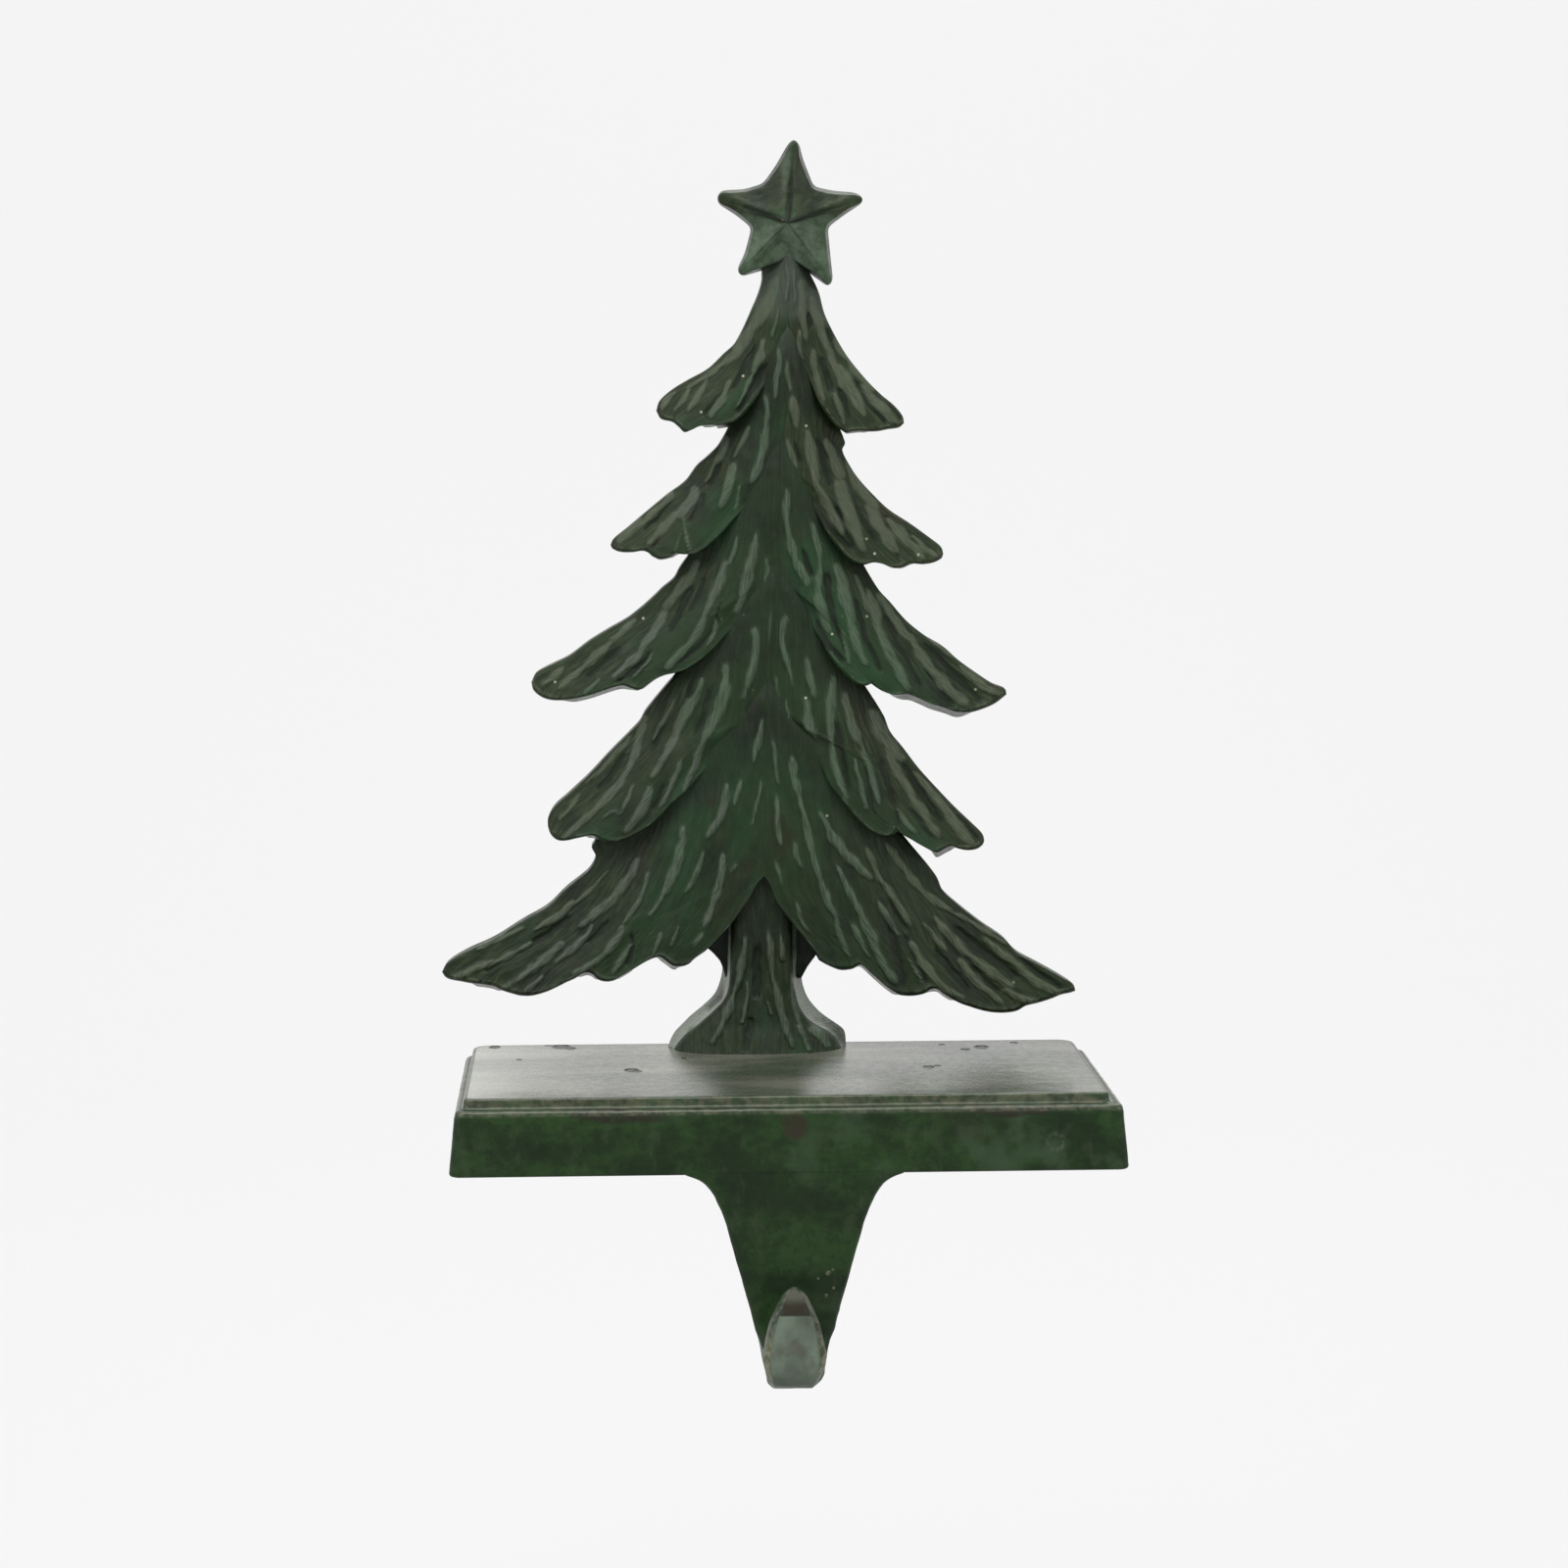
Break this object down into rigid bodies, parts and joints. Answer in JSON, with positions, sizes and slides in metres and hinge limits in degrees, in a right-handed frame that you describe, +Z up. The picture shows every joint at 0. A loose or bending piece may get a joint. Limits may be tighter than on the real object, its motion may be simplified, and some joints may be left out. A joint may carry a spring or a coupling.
{
  "type": "mantel stocking holder",
  "caption": "Weighted tabletop holder: a relief fir tree with a star stands on a stepped plinth whose front runs down into an upturned hook that hangs below a shelf edge.",
  "frame": {"origin": "on the mantel's top face, under the middle of the base", "axes": "+Z up, +X to the right seen from the front, the carved front and the hook face -Y"},
  "size_m": [0.1447, 0.0797, 0.2605],
  "materials": {
    "base_paint": "semi-gloss bottle green paint on cast iron, worn brown at the edges, with casting pits",
    "tree_paint": "semi-gloss bottle green paint on cast iron, grey-green dry-brushed ridges, olive and brown patches",
    "screw_steel": "zinc-plated steel"
  },
  "bodies": {
    "root": {"base_with_hook": "base_paint", "tree": "tree_paint", "fixing_screw": "screw_steel", "washer": "screw_steel"}
  },
  "joints": []
}
